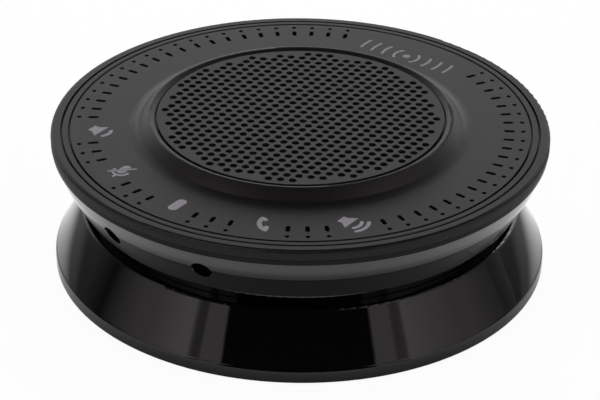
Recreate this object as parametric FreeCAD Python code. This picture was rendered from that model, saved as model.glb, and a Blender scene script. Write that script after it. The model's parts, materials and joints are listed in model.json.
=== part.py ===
import FreeCAD, Part
import math
import os

# Conference speakerphone: a round deck with a raised speaker grille on a tapered gloss
# housing, standing on a flared gloss base. Millimetres, +Z up, origin at the centre of the
# face it stands on. The user's side (status light) is at -Y, which is 270 degrees.

# ---- driving dimensions ----
RIM_R = 66.0
FOOT_GAP = 0.4
DECK_Z = 38.7
PLATE_T = 2.0
UNDER_Z = DECK_Z - PLATE_T
FRONT = 270.0
REAR = 90.0

# base
BASE_LIP_R = 65.95
BASE_LIP_Z = 3.6
BASE_LIP_ROUND = 0.35
BASE_TOP_R = 58.6
BASE_TOP_Z = 17.5
BASE_WALL = 2.3
BASE_EDGE_R = 0.6
BASE_FLANGE_R = 46.0
BASE_FLANGE_Z = 13.3
BASE_FLANGE_T = 2.0
PLATE_BOTTOM_R = 63.1
PLATE_TOP_Z = 2.4
FOOT_IN_R = 47.0
FOOT_OUT_R = 53.0
FOOT_POCKET = 0.8

# lower housing
WALL_TOP_R = 65.45
WALL_TOP_Z = 34.4
WALL_BEND_R = 63.0
WALL_BEND_Z = 28.4
WALL_BULGE = 0.16
WALL_BOTTOM_R = 59.3
WALL_BOTTOM_Z = 21.75
WALL_T = 2.0
WALL_INNER_BULGE = 0.5
FLOOR_TOP_Z = 23.75
FLOOR_IN_R = 30.5
NECK_R = 55.5
NECK_T = 2.0
NECK_BOTTOM_Z = BASE_FLANGE_Z + BASE_FLANGE_T
LIP_R = 65.75
LIP_LOW_Z = 34.7
LIP_Z = 35.85
LIP_IN_R = 63.2
LIP_STEP_Z = 33.3

# top cover
RIM_BOTTOM_Z = 36.1
RIM_ROUND = 0.9
SKIRT_OUT_R = 63.0
SKIRT_IN_R = 61.7
SKIRT_Z = 33.6
CHANNEL_IN_R = 60.85
CHANNEL_OUT_R = 63.5
CHANNEL_DEPTH = 1.0
TRIM_GAP = 0.55
OPENING_R = 33.0
SEAT_Z = 40.5
SEAT_T = 2.4
RIDGE_IN_R = 38.5
RIDGE_TOP_Z = 42.0
RIDGE_FOOT_R = 45.6
RIDGE_ROOT_R = 43.4

# speaker grille
GRILLE_R = 38.0
GRILLE_T = 0.8
CLOTH_T = 0.35
HOLE_PITCH = 2.755
HOLE_R = 1.0
HOLE_ROWS = 13.05
HOLE_STRETCH = 0.9915

# marks round the deck
MARK_STEP = 5.0
SLOT_R = 55.2
SLOT_LENGTH = 2.9
SLOT_WIDTH = 1.15
DOT_R = 58.9
DOT_D = 1.2
MARK_DEPTH = 0.8
LEGEND_R = 53.4
LEGEND_ANGLES = (220.0, 245.0, 270.0, 295.0, 320.0)
LEGEND_CENTRES = ((220.9, 52.8), (245.6, 53.1), (270.5, 53.3), (296.0, 53.6), (319.8, 53.9))
LEGEND_HALF_GAP = 4.0
REAR_HALF_GAP = 19.0
REAR_MARK_R = 50.7
MIC_ANGLES = (42.5, 137.5, 212.5, 327.5)

# ports
PORT_Z = 28.5
PORT_HALF_ANGLE = 13.0
AUDIO_ANGLE = FRONT + PORT_HALF_ANGLE
POWER_ANGLE = FRONT - PORT_HALF_ANGLE
PORT_HOLE_R = 2.6
PORT_RIM_R = 2.82
PORT_BOSS_R = 4.0
PORT_BOSS_X = 59.4
JACK_FACE_X = 58.2
JACK_NOSE_X = 59.1
JACK_BACK_X = 45.2
JACK_NOSE_R = 2.4
AUDIO_BORE_R = 1.8
AUDIO_BORE_DEPTH = 13.0
POWER_BORE_R = 2.0
POWER_BORE_DEPTH = 9.0
POWER_PIN_R = 0.65
POWER_PIN_LENGTH = 8.2

# boards
MAIN_Z = 24.4
MAIN_T = 1.6
MAIN_TOP_Z = MAIN_Z + MAIN_T
MAIN_IN_R = 32.5
MAIN_OUT_R = 56.5
TOUCH_Z = 35.2
TOUCH_T = 0.8
TOUCH_TOP_Z = TOUCH_Z + TOUCH_T
TOUCH_IN_R = 46.5
TOUCH_OUT_R = 60.0
GUIDE_R = 4.2
GUIDE_STEM_R = 1.6
GUIDE_HOLE_R = 1.7
MIC_GASKET_R = 2.3
MIC_HOLE_R = 0.6
FLEX_T = 0.15
FLEX_ANGLE = REAR + 12.0
FLEX_TOP_Z = TOUCH_Z - 1.6
FLEX_LOW_Z = MAIN_TOP_Z + 1.8

# screws
BOSS_R = 2.5
BOSS_GAP = 0.4
BOSS_CIRCLE_R = 50.5
BOSS_ANGLES = (5.0, 65.0, 115.0, 175.0, 232.5, 307.5)
BOSS_BOTTOM_Z = 24.1
SCREW_R = 1.0
PILOT_R = 1.05
CLEAR_R = 1.3
HEAD_R = 2.0
HEAD_H = 1.4
BASE_SCREW_ANGLES = (35.0, 145.0, 205.0, 335.0)
BASE_SCREW_CIRCLE_R = 50.0
PLATE_SCREW_ANGLES = (0.0, 90.0, 180.0, 270.0)
PLATE_SCREW_CIRCLE_R = 57.4
PLATE_SINK = 1.5
PLATE_BOSS_TOP_Z = 10.0
BOARD_SCREW_ANGLES = (20.0, 160.0, 200.0, 340.0)
BOARD_SCREW_CIRCLE_R = 44.0
TOUCH_SCREW_ANGLES = (90.0, 190.0, 350.0)
TOUCH_SCREW_CIRCLE_R = 49.5

# loudspeaker
FLANGE_R = 37.0
FLANGE_TOP_Z = 37.1
FLANGE_T = 1.2
GASKET_IN_R = 32.0
BASKET_TOP_R = 30.2
BASKET_LOW_R = 21.5
BASKET_FLOOR_Z = 25.3
BASKET_T = 1.2
BASKET_VENTS = 6
SPEAKER_SCREW_ANGLES = (45.0, 135.0, 225.0, 315.0)
SPEAKER_SCREW_CIRCLE_R = 34.9
SPIDER_SEAT_Z = 28.4
SPIDER_SEAT_R = 18.8
SPIDER_T = 0.4
MAGNET_R = 18.0
MAGNET_T = 5.0
YOKE_R = 17.0
YOKE_T = 2.0
POLE_R = 6.6
GAP_R = 8.6
COIL_IN_R = 7.1
COIL_FORMER_R = 7.4
COIL_R = 8.0
COIL_BOTTOM_Z = 20.6
COIL_TOP_Z = 27.4
FORMER_TOP_Z = 30.0
CONE_NECK_Z = 29.6
CONE_EDGE_R = 24.6
CONE_EDGE_Z = 35.9
CONE_T = 0.5
CAP_R = 9.4
CAP_RISE = 2.6
ROLL_OUT_R = 28.7
ROLL_RISE = 1.5
ROLL_T = 0.4

# battery
BATTERY_X = 52.0
BATTERY_Y = 38.0
BATTERY_H = 8.6
PAD_T = 1.0

ORIGIN = FreeCAD.Vector(0, 0, 0)
UP = FreeCAD.Vector(0, 0, 1)


# ---- helpers ----
def polar(radius, angle, z=0.0):
    """Point at a radius and an angle in degrees round +Z."""
    a = math.radians(angle)
    return FreeCAD.Vector(radius * math.cos(a), radius * math.sin(a), z)


def turned(shape, angle):
    """A copy of a shape turned round +Z."""
    copy = shape.copy()
    copy.rotate(ORIGIN, UP, angle)
    return copy


def disc(radius, z0, z1, at=ORIGIN):
    """Upright cylinder between two heights."""
    return Part.makeCylinder(radius, z1 - z0, FreeCAD.Vector(at.x, at.y, z0))


def ring(r_in, r_out, z0, z1):
    """Flat ring between two heights."""
    return disc(r_out, z0, z1).cut(disc(r_in, z0 - 1, z1 + 1))


def drill(radius, at=ORIGIN):
    """Upright cutter longer than the whole object."""
    return disc(radius, -1, RIDGE_TOP_Z + 1, at)


def rod(radius, x0, x1, z):
    """Cylinder along +X between two distances from the axis."""
    return Part.makeCylinder(radius, x1 - x0, FreeCAD.Vector(x0, 0, z), FreeCAD.Vector(1, 0, 0))


def block(x0, x1, width, z0, z1):
    """Box along +X, centred on Y."""
    return Part.makeBox(x1 - x0, width, z1 - z0, FreeCAD.Vector(x0, -width / 2, z0))


def outline(start, *steps):
    """Closed face in the XZ plane. A step is an end point, or an arc's (middle, end) pair."""
    edges = []
    here = start
    for step in steps + (start,):
        curved = isinstance(step[0], tuple)
        end = step[1] if curved else step
        a = FreeCAD.Vector(here[0], 0, here[1])
        b = FreeCAD.Vector(end[0], 0, end[1])
        if curved:
            middle = FreeCAD.Vector(step[0][0], 0, step[0][1])
            edges.append(Part.Arc(a, middle, b).toShape())
        elif a.distanceToPoint(b) > 1e-6:
            edges.append(Part.makeLine(a, b))
        here = end
    return Part.Face(Part.Wire(edges))


def spun(start, *steps):
    """Solid of revolution round +Z from an outline in the XZ plane."""
    return outline(start, *steps).revolve(ORIGIN, UP, 360)


def bowed(a, b, rise):
    """Arc step from a to b with its middle pushed out by rise on the right of a to b."""
    dx = b[0] - a[0]
    dz = b[1] - a[1]
    length = math.hypot(dx, dz)
    middle = ((a[0] + b[0]) / 2 + rise * dz / length, (a[1] + b[1]) / 2 - rise * dx / length)
    return (middle, b)


def settling(a, b):
    """Arc step from a down to b that ends level at b."""
    run = b[0] - a[0]
    drop = a[1] - b[1]
    radius = (run ** 2 + drop ** 2) / (2 * drop)
    half = run / 2
    middle = (b[0] - half, b[1] + radius - math.sqrt(radius ** 2 - half ** 2))
    return (middle, b)


def bar(x0, y0, x1, y1, width, z0, z1):
    """Rounded bar between two points in plan."""
    a = FreeCAD.Vector(x0, y0, z0)
    b = FreeCAD.Vector(x1, y1, z0)
    along = (b - a).normalize()
    side = UP.cross(along) * (width / 2)
    tip = along * (width / 2)
    edges = [
        Part.makeLine(a - side, b - side),
        Part.Arc(b - side, b + tip, b + side).toShape(),
        Part.makeLine(b + side, a + side),
        Part.Arc(a + side, a - tip, a - side).toShape(),
    ]
    return Part.Face(Part.Wire(edges)).extrude(UP * (z1 - z0))


def arc_bar(cx, cy, radius, width, angle0, angle1, z0, z1):
    """Bar bent round a centre, with round ends."""
    centre = FreeCAD.Vector(cx, cy, z0)
    half = width / 2
    mid = (angle0 + angle1) / 2
    tip = math.degrees(half / radius)
    outer = [centre + polar(radius + half, a) for a in (angle0, mid, angle1)]
    inner = [centre + polar(radius - half, a) for a in (angle1, mid, angle0)]
    edges = [
        Part.Arc(*outer).toShape(),
        Part.Arc(outer[2], centre + polar(radius, angle1 + tip), inner[0]).toShape(),
        Part.Arc(*inner).toShape(),
        Part.Arc(inner[2], centre + polar(radius, angle0 - tip), outer[0]).toShape(),
    ]
    return Part.Face(Part.Wire(edges)).extrude(UP * (z1 - z0))


def plate(points, z0, z1):
    """Flat plate with a polygon outline in plan."""
    corners = [FreeCAD.Vector(x, y, z0) for x, y in points]
    wire = Part.makePolygon(corners + corners[:1])
    return Part.Face(wire).extrude(UP * (z1 - z0))


def screw(head_z, tip_z):
    """Pan-head screw on +Z with a cross recess, head at head_z and tip at tip_z."""
    out = -1 if tip_z > head_z else 1
    low, high = sorted((head_z, tip_z))
    shank = disc(SCREW_R, low, high)
    head = disc(HEAD_R, 0, HEAD_H)
    head = head.makeFillet(0.5, [head.Edges[0]])
    recess = block(-1.1, 1.1, 0.5, HEAD_H - 0.8, HEAD_H + 0.1)
    head = head.cut([recess, turned(recess, 90)])
    if out < 0:
        head.rotate(ORIGIN, FreeCAD.Vector(1, 0, 0), 180)
    head.translate(FreeCAD.Vector(0, 0, head_z))
    return head.fuse(shank).removeSplitter()


def around(shape, radius, angles):
    """Copies of a shape at one radius and several angles."""
    copies = []
    for angle in angles:
        copy = shape.copy()
        copy.translate(FreeCAD.Vector(radius, 0, 0))
        copies.append(turned(copy, angle))
    return copies


def cable(points, radius):
    """Round lead through points, as one smooth curve."""
    path = Part.BSplineCurve()
    path.interpolate([FreeCAD.Vector(*p) for p in points])
    start = path.value(path.FirstParameter)
    along = path.tangent(path.FirstParameter)[0]
    section = Part.Wire(Part.makeCircle(radius, start, along))
    return Part.Wire(path.toShape()).makePipeShell([section], True, True)


def group(solids):
    """Separate solids kept together as one node."""
    return Part.makeCompound(solids)


def mark_angles():
    """Angles of the slots and dots, left open at the legends and at the rear mark."""
    angles = []
    for k in range(round(360 / MARK_STEP)):
        angle = (k + 0.5) * MARK_STEP
        near_rear = abs(angle - REAR) < REAR_HALF_GAP
        near_legend = any(abs(angle - a) < LEGEND_HALF_GAP for a in LEGEND_ANGLES)
        if not near_rear and not near_legend:
            angles.append(angle)
    return angles


# ---- legends: shapes in plan, upright for a user at the front ----
def loudspeaker_glyph(arcs, z0, z1):
    """Loudspeaker with sound arcs to its right."""
    back, waist, mouth = -3.9, -2.5, -0.5
    narrow, wide = 1.45, 2.9
    upper = [(back, narrow), (waist, narrow), (mouth, wide)]
    lower = [(x, -y) for x, y in reversed(upper)]
    solids = [plate(upper + lower, z0, z1)]
    for i in range(arcs):
        solids.append(arc_bar(-1.3, 0, 3.15 + 1.75 * i, 1.0, -34, 34, z0, z1))
    return solids


def muted_microphone_glyph(z0, z1):
    """Microphone in its cradle, crossed by a slash with a clear line beside it."""
    capsule = bar(0, 0.1, 0, 2.2, 2.3, z0, z1)
    cradle = arc_bar(0, 0.1, 2.15, 0.75, 180, 360, z0, z1)
    stem = bar(0, -2.1, 0, -3.2, 0.75, z0, z1)
    slash_gap = bar(-3.2, -2.3, 2.8, 3.7, 1.0, z0 - 1, z1 + 1)
    slash = bar(-2.7, -1.8, 2.3, 3.2, 0.55, z0, z1)
    solids = [slash]
    for piece in (capsule, cradle.fuse(stem)):
        solids.extend(piece.cut(slash_gap).Solids)
    return solids


def status_glyph(z0, z1):
    """Upright rounded bar."""
    return [bar(0, -1.65, 0, 1.65, 2.7, z0, z1)]


def handset_glyph(z0, z1):
    """Telephone handset, leaning to the left."""
    body = arc_bar(2.9, 2.1, 4.5, 1.25, 181, 263, z0, z1)
    ear = bar(-1.25, 1.95, -0.6, 1.75, 1.35, z0, z1)
    mouth = bar(2.05, -1.7, 1.8, -1.05, 1.35, z0, z1)
    return [body.fuse([ear, mouth]).removeSplitter()]


def rear_glyph(z0, z1):
    """Plain dot with sound arcs to both sides."""
    solids = [disc(1.1, z0, z1)]
    for i in range(4):
        radius = 3.6 + 3.4 * i
        half = math.degrees(math.asin(2.4 / radius))
        for middle in (0, 180):
            solids.append(arc_bar(0, 0, radius, 0.8, middle - half, middle + half, z0, z1))
    return solids


def legend(solids, angle, radius):
    """Legend centred on its place in the deck, kept upright."""
    middle = group(solids).BoundBox.Center
    shift = polar(radius, angle) - FreeCAD.Vector(middle.x, middle.y, 0)
    return [solid.translated(shift) for solid in solids]


def legends():
    """Every legend in the deck, by node name."""
    low, high = UNDER_Z, DECK_Z
    quieter, mute, status, call, louder = LEGEND_CENTRES
    return {
        "volume_down_key": legend(loudspeaker_glyph(1, low, high), *quieter),
        "mic_mute_key": legend(muted_microphone_glyph(low, high), *mute),
        "status_light": legend(status_glyph(low, high), *status),
        "call_key": legend(handset_glyph(low, high), *call),
        "volume_up_key": legend(loudspeaker_glyph(2, low, high), *louder),
        "rear_mark": legend(rear_glyph(DECK_Z - 0.5, high), REAR, REAR_MARK_R),
    }


# ---- base ----
def base_shell():
    """Flared gloss base with an inner flange that carries the housing."""
    lip_in = BASE_LIP_R - BASE_WALL
    top_in = BASE_TOP_R + 2.1 - BASE_WALL
    flange_top = BASE_FLANGE_Z + BASE_FLANGE_T
    edge = BASE_EDGE_R
    corner = (BASE_TOP_R - edge * 0.2, BASE_TOP_Z - edge * 0.3)
    lip = BASE_LIP_ROUND
    lip_under = (BASE_LIP_R - lip * 0.3, FOOT_GAP + lip * 0.3)
    lip_over = (BASE_LIP_R - lip * 0.12, BASE_LIP_Z + lip * 0.2)
    shell = spun(
        (BASE_LIP_R - lip, FOOT_GAP),
        (lip_under, (BASE_LIP_R, FOOT_GAP + lip)),
        (BASE_LIP_R, BASE_LIP_Z - lip),
        (lip_over, (BASE_LIP_R - lip, BASE_LIP_Z + lip * 1.6)),
        (BASE_TOP_R + edge * 0.25, BASE_TOP_Z - edge),
        (corner, (BASE_TOP_R - edge, BASE_TOP_Z)),
        (NECK_R + 0.25, BASE_TOP_Z),
        (NECK_R + 0.25, flange_top),
        (BASE_FLANGE_R, flange_top),
        (BASE_FLANGE_R, BASE_FLANGE_Z),
        (top_in, BASE_FLANGE_Z),
        (lip_in, BASE_LIP_Z),
        (lip_in, FOOT_GAP),
    )
    boss = disc(BOSS_R + 0.2, PLATE_TOP_Z, PLATE_BOSS_TOP_Z)
    boss = boss.fuse(block(0, RIM_R - PLATE_SCREW_CIRCLE_R, 2.0, PLATE_TOP_Z, PLATE_BOSS_TOP_Z))
    envelope = spun((0, 0), (lip_in, 0), (lip_in, BASE_LIP_Z), (top_in, BASE_TOP_Z), (0, BASE_TOP_Z))
    bosses = [b.common(envelope) for b in around(boss, PLATE_SCREW_CIRCLE_R, PLATE_SCREW_ANGLES)]
    shell = shell.fuse(bosses).removeSplitter()
    pilots = around(disc(PILOT_R, 0, PLATE_BOSS_TOP_Z - 1.5), PLATE_SCREW_CIRCLE_R, PLATE_SCREW_ANGLES)
    holes = around(drill(CLEAR_R), BASE_SCREW_CIRCLE_R, BASE_SCREW_ANGLES)
    return shell.cut(pilots + holes)


def base_plate():
    """Closure under the base, with a pocket for the foot ring and sunk screw holes."""
    cover = disc(PLATE_BOTTOM_R, FOOT_GAP, PLATE_TOP_Z)
    pocket = ring(FOOT_IN_R - 0.1, FOOT_OUT_R + 0.1, 0, FOOT_GAP + FOOT_POCKET)
    sink = disc(HEAD_R + 0.3, 0, FOOT_GAP + PLATE_SINK)
    sinks = around(sink, PLATE_SCREW_CIRCLE_R, PLATE_SCREW_ANGLES)
    holes = around(drill(CLEAR_R), PLATE_SCREW_CIRCLE_R, PLATE_SCREW_ANGLES)
    return cover.cut([pocket] + sinks + holes)


def foot_ring():
    """Rubber ring that the speakerphone stands on."""
    top = FOOT_GAP + FOOT_POCKET
    edge = 0.3
    return spun(
        (FOOT_IN_R, top),
        (FOOT_IN_R, edge),
        ((FOOT_IN_R + edge * 0.3, edge * 0.3), (FOOT_IN_R + edge, 0)),
        (FOOT_OUT_R - edge, 0),
        ((FOOT_OUT_R - edge * 0.3, edge * 0.3), (FOOT_OUT_R, edge)),
        (FOOT_OUT_R, top),
    )


def base_plate_screws():
    """Screws up through the closure into the base."""
    one = screw(FOOT_GAP + PLATE_SINK, PLATE_BOSS_TOP_Z - 2)
    return group(around(one, PLATE_SCREW_CIRCLE_R, PLATE_SCREW_ANGLES))


def base_screws():
    """Screws up through the base's inner flange into the housing."""
    one = screw(BASE_FLANGE_Z, WALL_BOTTOM_Z - 1)
    return group(around(one, BASE_SCREW_CIRCLE_R, BASE_SCREW_ANGLES))


def battery_pack():
    """Flat rechargeable pack lying in the base."""
    low = PLATE_TOP_Z + PAD_T
    corner = FreeCAD.Vector(-BATTERY_X / 2, -BATTERY_Y / 2, low)
    pack = Part.makeBox(BATTERY_X, BATTERY_Y, BATTERY_H, corner)
    return pack.makeFillet(1.2, pack.Edges)


def battery_pad():
    """Foam pad under the battery."""
    corner = FreeCAD.Vector(-BATTERY_X / 2 + 3, -BATTERY_Y / 2 + 3, PLATE_TOP_Z)
    return Part.makeBox(BATTERY_X - 6, BATTERY_Y - 6, PAD_T, corner)


# ---- lower housing ----
def wall_outside():
    """Outer face of the wall, as steps of an outline: straight from the foot, then bent upright."""
    bend = (WALL_BEND_R, WALL_BEND_Z)
    return [(WALL_BOTTOM_R, WALL_BOTTOM_Z), bend, bowed(bend, (WALL_TOP_R, WALL_TOP_Z), WALL_BULGE)]


def lower_housing():
    """Tapered gloss shell with the floor, the neck, the port holes and the screw bosses."""
    foot, bend, wall = wall_outside()
    inner_top = (WALL_TOP_R - WALL_T - 0.6, LIP_STEP_Z - 0.6)
    inner_foot = (WALL_BOTTOM_R - WALL_T, FLOOR_TOP_Z)
    shell = spun(
        foot,
        bend,
        wall,
        (LIP_R, LIP_LOW_Z),
        (LIP_R, LIP_Z),
        (LIP_IN_R, LIP_Z),
        (LIP_IN_R, LIP_STEP_Z),
        inner_top,
        bowed(inner_top, inner_foot, -WALL_INNER_BULGE),
        (FLOOR_IN_R, FLOOR_TOP_Z),
        (FLOOR_IN_R, WALL_BOTTOM_Z),
        (NECK_R - NECK_T, WALL_BOTTOM_Z),
        (NECK_R - NECK_T, NECK_BOTTOM_Z),
        (NECK_R, NECK_BOTTOM_Z),
        (NECK_R, WALL_BOTTOM_Z),
    )
    envelope = spun((0, WALL_BOTTOM_Z), foot, bend, wall, (0, WALL_TOP_Z))
    port_boss = rod(PORT_BOSS_R, PORT_BOSS_X, RIM_R, PORT_Z)
    ports = [turned(port_boss, a).common(envelope) for a in (AUDIO_ANGLE, POWER_ANGLE)]
    base_boss = disc(BOSS_R, NECK_BOTTOM_Z, WALL_BOTTOM_Z)
    base_bosses = around(base_boss, BASE_SCREW_CIRCLE_R, BASE_SCREW_ANGLES)
    standoffs = around(disc(BOSS_R, FLOOR_TOP_Z, MAIN_Z), BOARD_SCREW_CIRCLE_R, BOARD_SCREW_ANGLES)
    shell = shell.fuse(ports + base_bosses + standoffs).removeSplitter()
    cuts = [turned(port_opening(), a) for a in (AUDIO_ANGLE, POWER_ANGLE)]
    cuts += around(disc(CLEAR_R, 20, 25), BOSS_CIRCLE_R, BOSS_ANGLES)
    cuts += around(disc(PILOT_R, 10, WALL_BOTTOM_Z - 0.5), BASE_SCREW_CIRCLE_R, BASE_SCREW_ANGLES)
    cuts += around(disc(PILOT_R, FLOOR_TOP_Z - 1.6, 30), BOARD_SCREW_CIRCLE_R, BOARD_SCREW_ANGLES)
    return shell.cut(cuts)


def port_opening():
    """Hole for a plug with a countersunk mouth that follows the sloping wall."""
    hole = rod(PORT_HOLE_R, WALL_BOTTOM_R - 2 * WALL_T, RIM_R, PORT_Z)
    slope = math.degrees(math.atan2(WALL_BEND_R - WALL_BOTTOM_R, WALL_BEND_Z - WALL_BOTTOM_Z))
    depth = PORT_RIM_R - PORT_HOLE_R
    reach = 2.0
    mouth = Part.makeCone(PORT_HOLE_R, PORT_HOLE_R + depth + reach, depth + reach)
    mouth.translate(FreeCAD.Vector(0, 0, -depth))
    mouth.rotate(ORIGIN, FreeCAD.Vector(0, 1, 0), 90 + slope * 0.9)
    mouth.translate(FreeCAD.Vector(WALL_BEND_R, 0, PORT_Z))
    return hole.fuse(mouth)


def housing_screws():
    """Screws up through the housing floor into the cover's bosses."""
    one = screw(WALL_BOTTOM_Z, BOSS_BOTTOM_Z + 7)
    return group(around(one, BOSS_CIRCLE_R, BOSS_ANGLES))


def jack_block(width, bore_r, depth):
    """Board-mounted socket body with a round nose and a blind bore."""
    body = block(JACK_BACK_X, JACK_FACE_X, width, MAIN_TOP_Z, PORT_Z + 2.5)
    body = body.fuse(rod(JACK_NOSE_R, JACK_FACE_X, JACK_NOSE_X, PORT_Z)).removeSplitter()
    return body.cut(rod(bore_r, JACK_NOSE_X - depth, JACK_NOSE_X + 1, PORT_Z))


def audio_jack():
    """3.5 mm audio socket."""
    return turned(jack_block(6.4, AUDIO_BORE_R, AUDIO_BORE_DEPTH), AUDIO_ANGLE)


def power_jack():
    """Barrel power socket."""
    return turned(jack_block(6.8, POWER_BORE_R, POWER_BORE_DEPTH), POWER_ANGLE)


def power_jack_pin():
    """Centre contact of the power socket."""
    back = JACK_NOSE_X - POWER_BORE_DEPTH
    return turned(rod(POWER_PIN_R, back, back + POWER_PIN_LENGTH, PORT_Z), POWER_ANGLE)


# ---- top cover ----
def top_cover():
    """Matte deck with the ridge round the grille, the rim and the hanging bosses."""
    crown_r = RIDGE_IN_R + 1.0
    slope_top = (crown_r + 1.0, RIDGE_TOP_Z - 0.15)
    slope_foot = (slope_top[0] + 2.4, DECK_Z + 0.7)
    seat_under = SEAT_Z - SEAT_T
    channel_z = DECK_Z - CHANNEL_DEPTH
    rim_in = RIM_R - RIM_ROUND
    rim_arc = (RIM_R - RIM_ROUND * 0.26, DECK_Z - RIM_ROUND * 0.24)
    deck = spun(
        (OPENING_R, seat_under),
        (OPENING_R, SEAT_Z),
        (RIDGE_IN_R, SEAT_Z),
        (RIDGE_IN_R, RIDGE_TOP_Z - 0.7),
        (crown_r, RIDGE_TOP_Z - 0.08),
        ((crown_r + 0.5, RIDGE_TOP_Z), slope_top),
        ((slope_top[0] + 1.25, RIDGE_TOP_Z - 1.34), slope_foot),
        settling(slope_foot, (RIDGE_FOOT_R, DECK_Z)),
        (CHANNEL_IN_R, DECK_Z),
        (CHANNEL_IN_R, channel_z),
        (CHANNEL_OUT_R, channel_z),
        (CHANNEL_OUT_R, DECK_Z),
        (rim_in, DECK_Z),
        (rim_arc, (RIM_R, DECK_Z - RIM_ROUND)),
        (RIM_R, RIM_BOTTOM_Z),
        (SKIRT_OUT_R, RIM_BOTTOM_Z),
        (SKIRT_OUT_R, SKIRT_Z),
        (SKIRT_IN_R, SKIRT_Z),
        (SKIRT_IN_R, UNDER_Z),
        (RIDGE_ROOT_R, UNDER_Z),
        (RIDGE_ROOT_R - 2.2, seat_under),
    )
    bosses = around(disc(BOSS_R, BOSS_BOTTOM_Z, UNDER_Z + 0.5), BOSS_CIRCLE_R, BOSS_ANGLES)
    bosses += around(disc(BOSS_R, TOUCH_TOP_Z, UNDER_Z + 0.5), TOUCH_SCREW_CIRCLE_R, TOUCH_SCREW_ANGLES)
    deck = deck.fuse(bosses).removeSplitter()
    cuts = [solid for solids in legends().values() for solid in solids]
    cuts += deck_marks()
    cuts += around(disc(PILOT_R, 0, BOSS_BOTTOM_Z + 8), BOSS_CIRCLE_R, BOSS_ANGLES)
    cuts += around(disc(PILOT_R, 0, UNDER_Z + 0.6), TOUCH_SCREW_CIRCLE_R, TOUCH_SCREW_ANGLES)
    cuts += around(disc(PILOT_R, 0, seat_under + 1.7), SPEAKER_SCREW_CIRCLE_R, SPEAKER_SCREW_ANGLES)
    return deck.cut(cuts)


def deck_marks():
    """Cutters for the radial slots and the dots; the slots over the microphones go through."""
    cutters = []
    half = (SLOT_LENGTH - SLOT_WIDTH) / 2
    for angle in mark_angles():
        through = angle in MIC_ANGLES
        floor = UNDER_Z - 1 if through else DECK_Z - MARK_DEPTH
        slot = bar(SLOT_R - half, 0, SLOT_R + half, 0, SLOT_WIDTH, floor, DECK_Z + 1)
        dot = disc(DOT_D / 2, DECK_Z - MARK_DEPTH, DECK_Z + 1, FreeCAD.Vector(DOT_R, 0, 0))
        cutters += [turned(slot, angle), turned(dot, angle)]
    return cutters


def trim_ring():
    """Narrow ring let into the channel near the rim, with a fine gap on both sides."""
    r_in = CHANNEL_IN_R + TRIM_GAP
    r_out = CHANNEL_OUT_R - TRIM_GAP
    low = DECK_Z - CHANNEL_DEPTH
    edge = 0.15
    return spun(
        (r_in, low),
        (r_in, DECK_Z - edge),
        (r_in + edge, DECK_Z),
        (r_out - edge, DECK_Z),
        (r_out, DECK_Z - edge),
        (r_out, low),
    )


def speaker_grille():
    """Perforated metal disc: round holes in staggered rows that fill the disc."""
    low = SEAT_Z + CLOTH_T
    wires = [Part.Wire(Part.makeCircle(GRILLE_R, FreeCAD.Vector(0, 0, low)))]
    reach = math.ceil(HOLE_ROWS)
    for column in range(-reach, reach + 1):
        shift = 0.0 if column % 2 else 0.5
        for row in range(-reach - 1, reach + 1):
            y = row + shift
            if (HOLE_STRETCH * column) ** 2 + y ** 2 <= HOLE_ROWS ** 2:
                centre = FreeCAD.Vector(column * HOLE_PITCH, y * HOLE_PITCH, low)
                wires.append(Part.Wire(Part.makeCircle(HOLE_R, centre)))
    face = Part.makeFace(wires, "Part::FaceMakerBullseye")
    return face.extrude(UP * GRILLE_T)


def grille_cloth():
    """Thin acoustic cloth under the grille."""
    return disc(GRILLE_R - 0.1, SEAT_Z, SEAT_Z + CLOTH_T)


# ---- under the deck ----
def guide_places():
    """Centres of the light guides under the legends."""
    return [polar(LEGEND_R, angle) for angle in LEGEND_ANGLES]


def touch_adhesive():
    """Adhesive sheet that holds the touch board against the deck."""
    sheet = ring(TOUCH_IN_R, TOUCH_OUT_R, TOUCH_TOP_Z, UNDER_Z)
    cuts = [drill(GUIDE_R + 0.2, p) for p in guide_places()]
    cuts += around(drill(MIC_GASKET_R + 0.2), SLOT_R, MIC_ANGLES)
    cuts += around(drill(BOSS_R + BOSS_GAP), BOSS_CIRCLE_R, BOSS_ANGLES)
    cuts += around(drill(BOSS_R + BOSS_GAP), TOUCH_SCREW_CIRCLE_R, TOUCH_SCREW_ANGLES)
    return sheet.cut(cuts).Solids[0]


def touch_board():
    """Ring-shaped board with the touch keys, the indicator lights and the microphones."""
    board = ring(TOUCH_IN_R, TOUCH_OUT_R, TOUCH_Z, TOUCH_TOP_Z)
    cuts = [drill(GUIDE_HOLE_R, p) for p in guide_places()]
    cuts += around(drill(MIC_HOLE_R), SLOT_R, MIC_ANGLES)
    cuts += around(drill(BOSS_R + BOSS_GAP), BOSS_CIRCLE_R, BOSS_ANGLES)
    cuts += around(drill(CLEAR_R), TOUCH_SCREW_CIRCLE_R, TOUCH_SCREW_ANGLES)
    return board.cut(cuts)


def light_guides():
    """Clear guides that spread light from the board under each legend."""
    guides = []
    for p in guide_places():
        puck = disc(GUIDE_R, TOUCH_TOP_Z, UNDER_Z, p)
        stem = disc(GUIDE_STEM_R, TOUCH_Z + 0.05, TOUCH_TOP_Z, p)
        guides.append(puck.fuse(stem).removeSplitter())
    return group(guides)


def indicator_leds():
    """Lamps soldered under the touch board, shining up through it."""
    leds = []
    for angle in LEGEND_ANGLES:
        lamp = block(-1.9, 1.9, 3.6, TOUCH_Z - 1.1, TOUCH_Z)
        lamp.translate(FreeCAD.Vector(LEGEND_R, 0, 0))
        leds.append(turned(lamp, angle))
    return group(leds)


def microphones():
    """Small microphones under the through slots."""
    can = block(-1.9, 1.9, 3.0, TOUCH_Z - 1.1, TOUCH_Z)
    can = can.cut(disc(0.4, TOUCH_Z - 0.6, TOUCH_Z + 1))
    return group(around(can, SLOT_R, MIC_ANGLES))


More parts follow.
